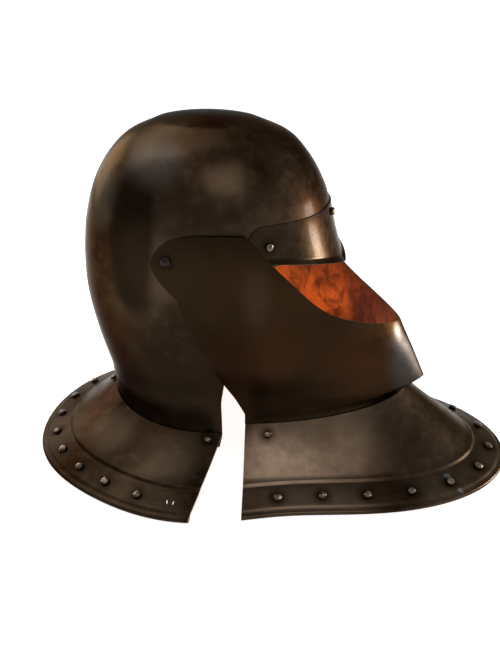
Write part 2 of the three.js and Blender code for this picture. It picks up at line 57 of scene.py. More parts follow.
# Sections of the skull from neck to crown: heights are shares of the crown's, reaches of their own sizes
SKULL_ROWS = [
    {"height": 0.25, "front": 0.877, "back": 0.825, "half": 0.87},
    {"height": 0.375, "front": 0.904, "back": 0.93, "half": 0.93},
    {"height": 0.51, "front": 0.947, "back": 0.997, "half": 0.98},
    {"height": 0.66, "front": 0.995, "back": 0.985, "half": 1.0},
    {"height": 0.765, "front": 0.978, "back": 0.93, "half": 0.965},
    {"height": 0.835, "front": 0.905, "back": 0.858, "half": 0.9},
    {"height": 0.897, "front": 0.795, "back": 0.75, "half": 0.785},
    {"height": 0.947, "front": 0.655, "back": 0.606, "half": 0.625},
    {"height": 0.984, "front": 0.415, "back": 0.39, "half": 0.4},
]
SKULL_NECK = {"front": 0.877, "back": 0.79, "half": 0.84}

# The bevor's upper edge: its place along the edge, x from pivot to chin, z of the pivot's height
BEVOR_EDGE = [
    {"along": 0, "x": -0.03, "z": 1.094},
    {"along": 0.08, "x": 0.03, "z": 1.102},
    {"along": 0.26, "x": 0.312, "z": 1.102},
    {"along": 0.33, "x": 0.369, "z": 1.083},
    {"along": 0.42, "x": 0.4537, "z": 0.9886},
    {"along": 0.52, "x": 0.5509, "z": 0.8895},
    {"along": 0.6, "x": 0.6256, "z": 0.8128},
    {"along": 0.67, "x": 0.692, "z": 0.7594},
    {"along": 0.75, "x": 0.768, "z": 0.717},
    {"along": 0.82, "x": 0.838, "z": 0.687},
    {"along": 0.91, "x": 0.922, "z": 0.656},
    {"along": 1, "x": 1, "z": 0.6315},
]

# The bevor's median profile over its ridge, as shares of the way from prow to chin
PROW_ROWS = [
    {"rise": 0, "lean": 0},
    {"rise": 0.5, "lean": 0.49},
    {"rise": 1, "lean": 1},
    {"rise": 1.6, "lean": 1.45},
    {"rise": 3, "lean": 2.6},
]
RIM_WAVES = [1, 0.1515, 0.169, 0.098, 0.054, 0.0165, -0.004]

# Places in millimetres that the helmet's pieces share
CROWN_Z = 324
AXIS_X = -60
SKULL_FRONT = 114
SKULL_BACK = 119
SKULL_HALF = 100
FACE_X = -31
FACE_TOP = 222
FACE_SLANT = 6
FACE_LEAN = 3
FACE_STRAIGHT = FACE_TOP * 0.45
NECK_SIDE_Z = 44
NECK_BACK_Z = 53
PROW_X = 149
PROW_Z = 82
CHIN_X = 123.6
CHIN_Z = 138.3
BEVOR_NECK_X = 131
BEVOR_NECK_HALF = 82
BEVOR_NECK_SIDE_Z = 54
BEVOR_NECK_FRONT_Z = 72
BEVOR_CORNER = math.radians(74.7)
BEVOR_SHARPNESS = 1.45
RIDGE_RISE = 9.5
ARM_CORNER = 0.17
ARM_LOBE = {"angle": math.radians(7), "width": 0.3, "start": 0.7, "height": 0.32}
PIVOT_X = -73
PIVOT_Z = 219
RIM_X = -50.5
RIM_RADIUS = 190
BORDER_WIDTH = 28
BORDER_RISE = 15.5
STEP_WIDTH = 4.5
STEP_RISE = 3.2
REAR_ANGLE = math.radians(87.4)
FRONT_ANGLE = math.radians(71.2)
BROW_TOP = 247
BROW_PEAK = 193
BROW_SIDE_RISE = 27.2
BROW_REACH = 127
BROW_ANGLE = math.radians(61)
BROW_SHEET = 1.5
BROW_LIP_HEIGHT = 4.5
BROW_LEAN = 1.3
BROW_CORNER = {"size": 14, "start": 0.88, "lift": 0.4}
FLANGE = 11
UNDERSIDE = 1.15
FLANGE_DROP = 1.65
UNDER_GAP = 0.9
SEAT_GAP = 0.35
SWING_GAP = 0.7
NECK_GAP = 0.9

# The photograph's camera, in millimetres
CAMERA_PLACE = (154.1, -867.9, 518.0)
CAMERA_TARGET = (-20.9, 0, 110.2)
CAMERA_LENS = 53.92
SENSOR = 36

# Soft studio lights: name, place and size in millimetres, power in watts
LIGHTS = (
    ("left_window", (-1150, 750, 480), 700, 8),
    ("brow_strip", (1250, 430, 260), 300, 26),
    ("top_softbox", (-600, 260, 1200), 1000, 6),
    ("side_softbox", (330, -800, 1250), 700, 5),
)

# Rivet heads in millimetres: radii by kind, height of the dome, shank radii
RIVET_RADIUS = {"pivot": 4.6, "border": 4.3, "small": 3.8}
HEAD_HEIGHT = 3.35
SHANK = {"pivot": 2.5, "other": 2.0}
HEAD_PROFILE = (
    (0.0, 0.0), (0.45, -0.12), (0.72, -0.5), (0.88, -1.1), (0.97, -2.0), (1.0, -2.8), (0.97, -HEAD_HEIGHT),
)
HAMMER_BLOWS = 7

def clamp(value, low=0.0, high=1.0):
    return max(low, min(high, value))


def mix(a, b, share):
    return a + (b - a) * share


def smoothstep(value, low, high):
    share = clamp((value - low) / (high - low))
    return share * share * (3 - 2 * share)


def read_table(rows, key_name, column, key):
    """The value of one column where another has the given value, on a smooth curve through the rows."""
    i = 0
    while i < len(rows) - 2 and rows[i + 1][key_name] < key:
        i += 1
    before, low = rows[max(i - 1, 0)], rows[i]
    high, after = rows[i + 1], rows[min(i + 2, len(rows) - 1)]
    span = high[key_name] - low[key_name]
    t = clamp((key - low[key_name]) / span)

    def slope(a, b):
        return (b[column] - a[column]) / (b[key_name] - a[key_name]) * span

    start, end = slope(before, high), slope(low, after)
    step = high[column] - low[column]
    return low[column] + start * t + (3 * step - 2 * start - end) * t**2 + (start + end - 2 * step) * t**3


def skull_reach(height):
    """How far the skull reaches forwards, backwards and sideways at a height."""
    share = height / CROWN_Z
    first = SKULL_ROWS[0]
    if share < first["height"]:
        t = smoothstep(share, NECK_SIDE_Z / CROWN_Z, first["height"])
        shares = [mix(SKULL_NECK[c], first[c], t) for c in ("front", "back", "half")]
    elif share > SKULL_ROWS[-1]["height"]:
        last = SKULL_ROWS[-1]
        t = math.sqrt(clamp((1 - share) / (1 - last["height"])))
        shares = [last[c] * t for c in ("front", "back", "half")]
    else:
        shares = [read_table(SKULL_ROWS, "height", c, share) for c in ("front", "back", "half")]
    return SKULL_FRONT * shares[0], SKULL_BACK * shares[1], SKULL_HALF * shares[2]


def skull_point(angle, height, proud=0.0):
    front, back, half = skull_reach(height)
    along = front if math.cos(angle) > 0 else back
    return Vector((AXIS_X + (along + proud) * math.cos(angle), (half + proud) * math.sin(angle), height))


def skull_neck_z(angle):
    return mix(NECK_SIDE_Z, NECK_BACK_Z, clamp(-math.cos(angle)) ** 2)


def bevor_neck_z(angle):
    return mix(BEVOR_NECK_SIDE_Z, BEVOR_NECK_FRONT_Z, clamp(math.cos(angle)) ** 2)


def ridge_share(height, neck_z):
    return clamp((height - neck_z - UNDER_GAP) / RIDGE_RISE)


def bevor_reach(height, neck_z):
    rise = (height - PROW_Z) / (CHIN_Z - PROW_Z)
    over = PROW_X - (PROW_X - CHIN_X) * read_table(PROW_ROWS, "rise", "lean", max(rise, 0))
    return mix(BEVOR_NECK_X, over, ridge_share(height, neck_z)) - AXIS_X


def bevor_point(angle, height, sheet):
    proud = BROW_SHEET + SEAT_GAP + SWING_GAP + sheet
    front, back, half = skull_reach(height)
    widen = smoothstep(height, BEVOR_NECK_SIDE_Z, SKULL_ROWS[1]["height"] * CROWN_Z)
    half = mix(BEVOR_NECK_HALF, half + proud, widen)
    cosine = math.cos(angle)
    along = bevor_reach(height, bevor_neck_z(angle)) if cosine > 0 else back + proud
    sharp = mix(1, BEVOR_SHARPNESS, ridge_share(height, bevor_neck_z(angle)))
    power = mix(1, sharp, cosine) if cosine > 0 else 1
    side = math.copysign(half * abs(math.sin(angle)) ** power, math.sin(angle))
    return Vector((AXIS_X + along * cosine, side, height))


def rim_point(angle):
    radius = RIM_RADIUS * sum(wave * math.cos(k * angle) for k, wave in enumerate(RIM_WAVES))
    return Vector((RIM_X + radius * math.cos(angle), radius * math.sin(angle), 0))


REAR_NECK_CORNER = math.acos((FACE_X - AXIS_X) / (SKULL_FRONT * SKULL_NECK["front"]))


def rear_station(share, sheet):
    """The rear plate's neck and rim points at a share of its way round. They don't depend on the sheet."""
    neck_angle = mix(REAR_NECK_CORNER, 2 * math.pi - REAR_NECK_CORNER, share)
    neck = skull_point(neck_angle, skull_neck_z(neck_angle), NECK_GAP)
    return neck, rim_point(mix(REAR_ANGLE, 2 * math.pi - REAR_ANGLE, share))


def front_station(share, sheet):
    neck_angle = mix(-BEVOR_CORNER, BEVOR_CORNER, share)
    neck = bevor_point(neck_angle, bevor_neck_z(neck_angle), sheet)
    neck += Vector((math.cos(neck_angle), math.sin(neck_angle), 0)) * NECK_GAP
    return neck, rim_point(mix(-FRONT_ANGLE, FRONT_ANGLE, share))


def plate_slope(neck, rim):
    width = (neck.xy - rim.xy).length
    return (neck.z - BORDER_RISE - STEP_RISE) / (width - BORDER_WIDTH - STEP_WIDTH)


def flange_z(station, out, sheet):
    """How high a neck flange may reach under the plate that lies on it."""
    return station[0].z - out * plate_slope(*station) - UNDER_GAP - sheet * FLANGE_DROP


def plate_section(neck, rim, sheet, hem):
    """One closed section of a plate, from its neck over the rolled hem and back underneath."""
    inward = neck - rim
    inward.z = 0
    width = inward.length
    inward.normalize()
    panel = BORDER_WIDTH + STEP_WIDTH
    panel_z = BORDER_RISE + STEP_RISE

    def border_z(inset):
        return hem * 2 + (BORDER_RISE - hem * 2) * inset / BORDER_WIDTH

    def panel_line(share, drop=0.0):
        sag = (1 - share) * share * hem * 2
        return mix(width, panel, share), mix(neck.z, panel_z, share) - sag - drop

    upper = [panel_line(k / 10) for k in range(10)]
    for k in range(7):
        t = k / 6
        soft = t * t * (3 - 2 * t)
        upper.append((panel - STEP_WIDTH * t, mix(panel_z, BORDER_RISE, soft)))
    upper += [(inset, border_z(inset)) for inset in (24, 20, 16, 12, 8.5, 6.4)]
    crease = 5.6
    upper.append((crease, border_z(crease) - 0.45))
    hem_reach = hem * 1.15
    for k in range(11):
        turn = math.pi / 2 + math.pi * k / 10
        upper.append((hem_reach + hem * 1.15 * math.cos(turn), hem + hem * math.sin(turn)))
    upper.append((hem * 2.0, 0.35))
    upper.append((hem * 2.3, hem))
    lower = [(inset, border_z(inset) - sheet) for inset in (7.5, 16, 24)]
    lower += [(BORDER_WIDTH, BORDER_RISE - sheet), (panel, panel_z - sheet)]
    lower += [panel_line(k / 8, sheet * UNDERSIDE) for k in range(7, -1, -1)]
    return [rim + inward * inset + Vector((0, 0, z)) for inset, z in upper + lower], len(upper)


def brow_point(angle, share, lip):
    cosine = math.cos(angle)
    turn = clamp((abs(angle) / BROW_ANGLE - BROW_CORNER["start"]) / (1 - BROW_CORNER["start"]))
    corner = BROW_CORNER["size"] * (1 - math.sqrt(1 - turn * turn))
    low = BROW_PEAK + BROW_SIDE_RISE * abs(math.sin(angle)) + corner * BROW_CORNER["lift"]
    height = mix(low, BROW_TOP - corner, share)
    proud = SEAT_GAP + BROW_SHEET
    lean = clamp((BROW_TOP - height) / (BROW_TOP - BROW_PEAK)) ** BROW_LEAN
    top = skull_reach(BROW_TOP)[0] + proud
    turned = lip * clamp(1 - (height - low) / BROW_LIP_HEIGHT) * cosine
    along = top + (BROW_REACH - top) * lean + turned
    half = skull_reach(height)[2] + proud + turned * 0.5
    return Vector((AXIS_X + along * cosine, half * math.sin(angle), height))


def bevor_edge(along):
    x = PIVOT_X + (CHIN_X - PIVOT_X) * read_table(BEVOR_EDGE, "along", "x", along)
    return x, PIVOT_Z * read_table(BEVOR_EDGE, "along", "z", along)


def bevor_angle(x, height):
    reach = bevor_reach(height, BEVOR_NECK_SIDE_Z) if x > AXIS_X else skull_reach(height)[1]
    return math.acos(clamp((x - AXIS_X) / reach, -1, 1))


def round_corner(p, q):
    """Draws the corner where p and q are both 0 in to a quarter round."""
    if p >= 1 or q >= 1:
        return p, q
    a, b = 1 - p, 1 - q
    return 1 - a * math.sqrt(1 - b * b / 2), 1 - b * math.sqrt(1 - a * a / 2)


def bevor_surface(side, share, sheet):
    """The bevor at side -1 to 1 across and share 0 to 1 from its neck to its upper edge."""
    p, q = round_corner((1 - abs(side)) / ARM_CORNER, (1 - share) / ARM_CORNER)
    along, share = p * ARM_CORNER, 1 - q * ARM_CORNER
    x, z = bevor_edge(along)
    edge_angle = 0 if along >= 1 else bevor_angle(x, z)
    neck_angle = BEVOR_CORNER * (1 - along)
    swell = math.sin(math.pi * clamp((share - ARM_LOBE["start"]) / ARM_LOBE["height"]))
    lobe = ARM_LOBE["angle"] * max(0, 1 - along / ARM_LOBE["width"]) * swell
    angle = mix(neck_angle, edge_angle, share) + lobe
    low = bevor_neck_z(neck_angle)
    return bevor_point(math.copysign(angle, side), mix(low, z, share), sheet)


# Properties that a user would change
class HelmetSizes(bpy.types.PropertyGroup):
    """Sizes of the sheet and its finish."""
    sheet: bpy.props.FloatProperty(name="Sheet", description="Thickness of the steel",
                                   default=1.6 * MM, unit="LENGTH")
    brow_sheet: bpy.props.FloatProperty(name="Brow sheet", description="Thickness of the brow plate",
                                        default=BROW_SHEET * MM, unit="LENGTH")
    hem: bpy.props.FloatProperty(name="Hem", description="Radius of the rolled hem",
                                 default=2.3 * MM, unit="LENGTH")
    brow_lip: bpy.props.FloatProperty(name="Brow lip", description="How far the lower edge turns out",
                                      default=2.6 * MM, unit="LENGTH")
    edge_round: bpy.props.FloatProperty(name="Edge rounding", description="Width of the filed edges",
                                        default=0.35 * MM, unit="LENGTH")
    # The rivet rings are partly painted shadow and partly dark patina.
    shadow_patina_ring: bpy.props.FloatProperty(name="Halo", description="Reach of the dark patina round each rivet",
                                  default=13 * MM, unit="LENGTH")


def colour_property(name, description, default):
    return bpy.props.FloatVectorProperty(name=name, description=description, default=default,
                                         size=3, subtype="COLOR", min=0, max=1)


class HelmetColours(bpy.types.PropertyGroup):
    """Colours of the finishes, in linear light."""
    bronze: colour_property("Bronzed steel", "Main brown of the outside", (0.046, 0.031, 0.019))
    # Also laid as painted shade: the dark band down the skull's side, the front end of the front plate and,
    # in part, the rivet rings.
    bronze_dark: colour_property("Dark patina", "Darkest clouds of the outside", (0.0092, 0.0054, 0.0026))
    bronze_red: colour_property("Red clouds", "Reddish clouds of the outside", (0.062, 0.028, 0.012))
    bronze_grey: colour_property("Grey bloom", "Greyish brown bloom", (0.082, 0.060, 0.043))
    copper: colour_property("Copper rust", "Bright rust of the inside", (0.80, 0.165, 0.022))
    copper_dark: colour_property("Dark rust", "Dark rust of the inside", (0.085, 0.018, 0.006))
    edge: colour_property("Worn edge", "Bare metal at the cut edges", (0.10, 0.078, 0.058))
    nick: colour_property("Nick", "Bare metal in the nicks", (0.55, 0.50, 0.44))
    scuff: colour_property("Scuff", "Grey scuffs", (0.13, 0.145, 0.15))
    # Painted sheen: the paler brown laid where light reflects on the gorget plates and along the front
    # plate's border.
    bloom: colour_property("Bloom", "Pale brown bloom on the plates", (0.125, 0.084, 0.058))
    # Partly the bevor's own redder tone, partly a painted dull red sheen on its middle.
    ember: colour_property("Ember", "Deep red brown patches", (0.024, 0.0095, 0.0042))
    # Painted shade above the brow, where it dims the brow lamp's reflection; also a darker patch on the
    # bevor's lower rear.
    deep_red_brown: colour_property("Soot", "Darkest red brown", (0.0085, 0.0036, 0.0020))
    slate: colour_property("Slate", "Dark grey without brown", (0.024, 0.021, 0.0195))
    # Painted sheen and glint: grey standing in for reflected light on the skull and the prow.
    painted_grey_sheen: colour_property("Silver", "Grey sheen of rubbed patches", (0.15, 0.128, 0.108))
    rivet: colour_property("Rivet", "Hammered heads", (0.22, 0.150, 0.105))
    pivot: colour_property("Pivot", "Blackened pivot heads", (0.010, 0.008, 0.007))
    floor: colour_property("Floor", "Pale floor", (0.93, 0.93, 0.93))


# Materials
def new_material(name):
    material = bpy.data.materials.new(name)
    material.use_nodes = True
    tree = material.node_tree
    shader = tree.nodes["Principled BSDF"]
    return material, tree, shader


def add_node(tree, kind, **values):
    node = tree.nodes.new(kind)
    for key, value in values.items():
        if key in node.inputs.keys():
            node.inputs[key].default_value = value
        else:
            setattr(node, key, value)
    return node


def object_coordinates(tree, scale=(1, 1, 1)):
    coordinates = add_node(tree, "ShaderNodeTexCoord")
    mapping = add_node(tree, "ShaderNodeMapping", Scale=scale)
    tree.links.new(coordinates.outputs["Object"], mapping.inputs["Vector"])
    return mapping.outputs["Vector"]


def axes_of(tree, vector):
    node = add_node(tree, "ShaderNodeSeparateXYZ")
    tree.links.new(vector, node.inputs[0])
    return node.outputs


def noise(tree, vector, scale, detail=5.0, roughness=0.55, distortion=0.0):
    node = add_node(tree, "ShaderNodeTexNoise", Scale=scale, Detail=detail, Roughness=roughness,
                    Distortion=distortion)
    tree.links.new(vector, node.inputs["Vector"])
    return node.outputs["Fac"]


def ramp(tree, fac, low, high, start=0.0, end=1.0):
    """A soft step of fac between low and high, from start to end."""
    node = add_node(tree, "ShaderNodeMapRange", interpolation_type="SMOOTHSTEP")
    for key, value in (("From Min", low), ("From Max", high), ("To Min", start), ("To Max", end)):
        node.inputs[key].default_value = value
    tree.links.new(fac, node.inputs["Value"])
    return node.outputs["Result"]


def blend_colour(tree, fac, first, second, blend_type="MIX"):
    node = add_node(tree, "ShaderNodeMix", data_type="RGBA", blend_type=blend_type)
    for value, socket in ((first, node.inputs[6]), (second, node.inputs[7])):
        if isinstance(value, bpy.types.NodeSocket):
            tree.links.new(value, socket)
        else:
            socket.default_value = (*value, 1)
    if isinstance(fac, bpy.types.NodeSocket):
        tree.links.new(fac, node.inputs[0])
    else:
        node.inputs[0].default_value = fac
    return node.outputs[2]


def multiply(tree, first, second):
    node = add_node(tree, "ShaderNodeMath", operation="MULTIPLY")
    for value, socket in ((first, node.inputs[0]), (second, node.inputs[1])):
        if isinstance(value, bpy.types.NodeSocket):
            tree.links.new(value, socket)
        else:
            socket.default_value = value
    return node.outputs[0]


def add_bump(tree, shader, height, strength, distance):
    bump = add_node(tree, "ShaderNodeBump", Strength=strength, Distance=distance)
    tree.links.new(height, bump.inputs["Height"])
    tree.links.new(bump.outputs["Normal"], shader.inputs["Normal"])


def attribute(tree, name):
    return add_node(tree, "ShaderNodeAttribute", attribute_name=name).outputs["Fac"]


def add_mark(tree, base, colour, centre, half_sizes, turn, strength, soft):
    """An elongated mark on a surface, at a place in millimetres."""
    coordinates = add_node(tree, "ShaderNodeTexCoord")
    mapping = add_node(tree, "ShaderNodeMapping", vector_type="TEXTURE")
    mapping.inputs["Location"].default_value = Vector(centre) * MM
    mapping.inputs["Rotation"].default_value = (0, 0, math.radians(turn))
    mapping.inputs["Scale"].default_value = Vector(half_sizes) * MM
    tree.links.new(coordinates.outputs["Object"], mapping.inputs["Vector"])
    spot = add_node(tree, "ShaderNodeTexGradient", gradient_type="SPHERICAL")
    tree.links.new(mapping.outputs["Vector"], spot.inputs["Vector"])
    return blend_colour(tree, ramp(tree, spot.outputs["Fac"], 0, soft, 0, strength), base, colour)


# Broad tones of the steel, among them painted shade and painted sheen: colour, place, half sizes, turn in
# degrees, strength, softness of the edge
TONES = (
    # Painted shade: a dark band down the skull's side, standing in for a dark reflection.
    ("bronze_dark", (-107, -86, 232), (30, 30, 92), 0, 0.85, 0.4),
    # Painted sheen: grey patches on the skull where broad lights reflect.
    ("painted_grey_sheen", (-88, -70, 292), (40, 40, 26), 0, 0.35, 0.9),
    ("painted_grey_sheen", (-142, -60, 262), (26, 32, 46), 0, 0.3, 0.9),
    # Painted shade: darkens the skull above the brow to dim the brow lamp's reflection.
    ("deep_red_brown", (38, -36, 257), (54, 50, 36), 0, 0.95, 0.9),
    # Painted sheen: paler brown where light reflects on the front plate's panel and along its border.
    ("bloom", (24, -104, 28), (80, 46, 40), -8, 0.62, 0.85),
    ("bloom", (40, -120, 8), (110, 34, 9), 4, 0.75, 0.8),
    # Painted shade: darkens the front end of the front plate, where little light reflects.
    ("bronze_dark", (165, -25, 35), (95, 90, 60), 0, 0.72, 0.8),
    # Painted sheen: a paler patch where light reflects on the rear plate.
    ("bloom", (-142, -78, 32), (36, 36, 30), 0, 0.3, 0.8),
    ("slate", (-215, -20, 20), (62, 110, 50), 0, 0.8, 0.7),
    # Partly the bevor's redder tone, partly a painted dull red sheen on its middle and towards the prow.
    ("ember", (18, -92, 132), (62, 30, 46), 0, 0.7, 0.8),
    ("ember", (88, -48, 112), (64, 50, 50), 0, 0.65, 0.8),
    # A darker patch on the bevor's lower rear.
    ("deep_red_brown", (-20, -92, 120), (40, 30, 90), 0, 0.6, 0.8),
    # Painted sheen: a lighter upright streak on the bevor's side.
    ("bronze", (4, -95, 188), (20, 16, 46), 0, 0.22, 0.9),
    ("slate", (134, -16, 106), (34, 30, 46), 0, 0.9, 0.7),
    # Painted glint: a small grey highlight on the prow's ridge.
    ("painted_grey_sheen", (122, -12, 131), (7, 9, 14), 0, 0.2, 0.9),
)

# Bright nicks and grey scuffs on the borders, given the same way
MARKS = (
    ("nick", (-65.2, -153.6, 10.7), (0.7, 2.6, 3), 12, 0.9, 0.45),
    ("nick", (-59.5, -154.0, 10.6), (0.8, 2.2, 3), -6, 0.9, 0.45),
    ("scuff", (178.2, -65.5, 14.8), (5.2, 3.4, 4), 25, 0.7, 0.45),
    ("scuff", (191.0, -76.6, 6.5), (4.2, 3.0, 4), -20, 0.6, 0.45),
)


def bronzed_material(name, colours, gloss, coat, depth, red, foot):
    """Cloudy antiqued steel with dark rivet rings of painted shadow and patina, and marks of painted shade
    and sheen.

    depth is how far it goes to the dark patina, red how red its clouds are, foot how dark its foot is.
    """
    material, tree, shader = new_material(name)
    place = object_coordinates(tree)
    clouds = noise(tree, place, 9, 3, 0.5, 0.6)
    red_clouds = noise(tree, object_coordinates(tree, (1, 1, 1.4)), 13, 4, 0.55, 0.3)
    bloom = noise(tree, object_coordinates(tree, (1.3, 1, 0.7)), 6, 3, 0.45, 0.2)
    mottle = noise(tree, place, 90, 6, 0.65)
    base = blend_colour(tree, ramp(tree, clouds, 0.38, 0.62), colours.bronze_dark, colours.bronze)
    base = blend_colour(tree, ramp(tree, red_clouds, 0.42, 0.66, red * 0.35, red), base, colours.bronze_red)
    base = blend_colour(tree, ramp(tree, bloom, 0.5, 0.72, 0, 0.5), base, colours.bronze_grey)
    base = blend_colour(tree, ramp(tree, mottle, 0.45, 0.75, 0, 0.22), base, colours.bronze_grey)
    base = blend_colour(tree, depth, base, colours.bronze_dark)
    low = ramp(tree, axes_of(tree, place)["Z"], 0.07, 0.23, foot, 0)
    base = blend_colour(tree, low, base, colours.bronze_dark)
    for kind, *mark in TONES:
        base = add_mark(tree, base, getattr(colours, kind), *mark)
    # Darker rings round the rivets: partly painted shadow, partly dark patina.
    base = blend_colour(tree, multiply(tree, attribute(tree, "shadow_patina_ring"), 0.95), base, colours.bronze_dark)
    for kind, *mark in MARKS:
        base = add_mark(tree, base, getattr(colours, kind), *mark)
    tree.links.new(base, shader.inputs["Base Color"])
    scratches = noise(tree, object_coordinates(tree, (1, 1, 14)), 120, 3, 0.6)
    roughness = ramp(tree, mottle, 0.3, 0.8, gloss, gloss + 0.14)
    tree.links.new(roughness, shader.inputs["Roughness"])
    shader.inputs["Metallic"].default_value = 1
    shader.inputs["Specular Tint"].default_value = (0.46, 0.43, 0.40, 1)
    shader.inputs["Coat Weight"].default_value = coat
    shader.inputs["Coat Roughness"].default_value = gloss * 0.6
    dents = noise(tree, place, 22, 2, 0.4)
    relief = add_node(tree, "ShaderNodeMath", operation="ADD")
    tree.links.new(multiply(tree, dents, 3.0), relief.inputs[0])
    tree.links.new(multiply(tree, scratches, 0.05), relief.inputs[1])
    add_bump(tree, shader, relief.outputs[0], 0.35, 0.0008)
    return material


def copper_material(colours):
    """The rusty inside: bright copper orange with dark burnt mottling, and painted shade towards the front
    and the top.
    """
    material, tree, shader = new_material("copper_rust_inside")
    place = object_coordinates(tree)
    patches = noise(tree, object_coordinates(tree, (1, 1, 0.6)), 17, 5, 0.6, 0.5)
    streaks = noise(tree, object_coordinates(tree, (1, 1, 0.7)), 55, 6, 0.68, 0.6)
    specks = noise(tree, place, 150, 6, 0.7)
    base = blend_colour(tree, ramp(tree, patches, 0.33, 0.62), colours.copper_dark, colours.copper)
    base = blend_colour(tree, ramp(tree, streaks, 0.42, 0.66, 0, 0.85), base, colours.copper_dark)
    base = blend_colour(tree, ramp(tree, specks, 0.5, 0.72, 0, 0.45), base, colours.copper_dark)
    axes = axes_of(tree, place)
    # Painted shade: the inside darkens towards the front and towards the top, under the brow.
    shade_towards_front = ramp(tree, axes["X"], 0.045, 0.115, 0, 0.72)
    shade_towards_top = ramp(tree, axes["Z"], 0.125, 0.165, 0, 0.55)
    base = blend_colour(tree, shade_towards_front, base, colours.copper_dark)
    base = blend_colour(tree, shade_towards_top, base, colours.copper_dark)
    tree.links.new(base, shader.inputs["Base Color"])
    tree.links.new(ramp(tree, patches, 0.3, 0.7, 0.6, 0.42), shader.inputs["Roughness"])
    shader.inputs["Metallic"].default_value = 0.5
    shader.inputs["Specular IOR Level"].default_value = 0.15
    add_bump(tree, shader, specks, 0.25, 0.0004)
    return material


def plain_metal(name, colour, dark, gloss, metallic, grain):
    material, tree, shader = new_material(name)
    place = object_coordinates(tree)
    fac = noise(tree, place, grain, 5, 0.65)
    base = blend_colour(tree, ramp(tree, fac, 0.35, 0.68, 0.25, 1), dark, colour)
    # Darker rings: round the rivets partly painted shadow and partly patina, on the rivet heads painted
    # shade towards the rim.
    base = blend_colour(tree, multiply(tree, attribute(tree, "shadow_patina_ring"), 0.9), base, dark)
    tree.links.new(base, shader.inputs["Base Color"])
    tree.links.new(ramp(tree, fac, 0.3, 0.7, gloss + 0.12, gloss), shader.inputs["Roughness"])
    shader.inputs["Metallic"].default_value = metallic
    add_bump(tree, shader, fac, 0.4, 0.0005)
    return material


def finishes():
    """The finishes by name, made once."""
    colours = bpy.context.scene.helmet_colours
    if "copper_rust_inside" not in bpy.data.materials:
        bronzed_material("antiqued_shell", colours, 0.30, 0.03, 0.0, 0.2, 0)
        bronzed_material("antiqued_skull", colours, 0.28, 0.03, 0.0, 0.25, 0.8)
        bronzed_material("darkened_bevor", colours, 0.25, 0.0, 0.8, 1.0, 0.5)
        bronzed_material("polished_brow", colours, 0.23, 0.06, 0.62, 0.3, 0)
        copper_material(colours)
        plain_metal("worn_edge", colours.edge, colours.bronze, 0.35, 0.9, 300)
        plain_metal("hammered_head", colours.rivet, colours.bronze_dark, 0.34, 0.9, 420)
        plain_metal("blackened_head", colours.pivot, colours.bronze_dark, 0.4, 0.8, 300)
    return bpy.data.materials


# The finish that each of the record's slots shows outside
OUTSIDE = {
    "bronzed_steel": "antiqued_shell",
    "brow_steel": "polished_brow",
    "rivet_steel": "hammered_head",
    "pivot_steel": "blackened_head",
}


# Mesh helpers
def finish_object(name, bm, body, slot, nodes, others=(), outside=None):
    mesh = bpy.data.meshes.new(name)
    bm.to_mesh(mesh)
    bm.free()
    piece = bpy.data.objects.new(name, mesh)
    bpy.context.scene.collection.objects.link(piece)
    for material in (outside or OUTSIDE[slot], *others):
        mesh.materials.append(finishes()[material])
    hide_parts(*nodes)
    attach(piece, body)
    return piece


def mark_shadow_patina_rings(bm, rivets, reach):
    """Writes how dark each point is near a rivet: a ring that is partly painted shadow and partly dark
    patina.
    """
    shadow_patina_ring = bm.verts.layers.float.new("shadow_patina_ring")
    for vert in bm.verts:
        near = min(((vert.co - rivet).length for rivet in rivets), default=1)
        vert[shadow_patina_ring] = 1 - smoothstep(near, reach * 0.3, reach)


def smooth_faces(bm, sharp_degrees):
    for face in bm.faces:
        face.smooth = True
    for edge in bm.edges:
        edge.smooth = len(edge.link_faces) == 2 and edge.calc_face_angle(0) < math.radians(sharp_degrees)


def grid_mesh(columns, rows, place):
    """A grid bent to the surface that place(u, v) gives, with u and v from 0 to 1."""
    bm = bmesh.new()
    bmesh.ops.create_grid(bm, x_segments=columns, y_segments=rows, size=1)
    for vert in bm.verts:
        vert.co = place((vert.co.x + 1) / 2, (vert.co.y + 1) / 2) * MM
    bm.normal_update()
    return bm


def rivet_axis(node):
    """The seat of a rivet's head and its outward direction, from the poles of its solid."""
    counts = {}
    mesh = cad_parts[node].data
    for polygon in mesh.polygons:
        for index in polygon.vertices:
            key = tuple(round(c, 5) for c in mesh.vertices[index].co)
            counts[key] = counts.get(key, 0) + 1
    points = [Vector(key) for key in counts]
    poles = sorted(counts, key=lambda key: -counts[key])[:2]
    a, b = Vector(poles[0]), Vector(poles[1])

    def spread(pole, other):
        axis = (pole - other).normalized()
        length = (pole - other).length
        near = [p for p in points if 0.02 * length < (pole - p).dot(axis) < 0.4 * length]
        return max(((p - pole) - axis * (p - pole).dot(axis)).length for p in near) if near else 0

    top, bottom = (a, b) if spread(a, b) > spread(b, a) else (b, a)
    return top, (top - bottom).normalized(), (top - bottom).length


RIVET_NODES = sorted(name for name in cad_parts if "rivet" in name)
RIVETS = {name: rivet_axis(name) for name in RIVET_NODES}


def rivets_near(*prefixes):
    return [RIVETS[name][0] for name in RIVET_NODES if name.startswith(prefixes)]


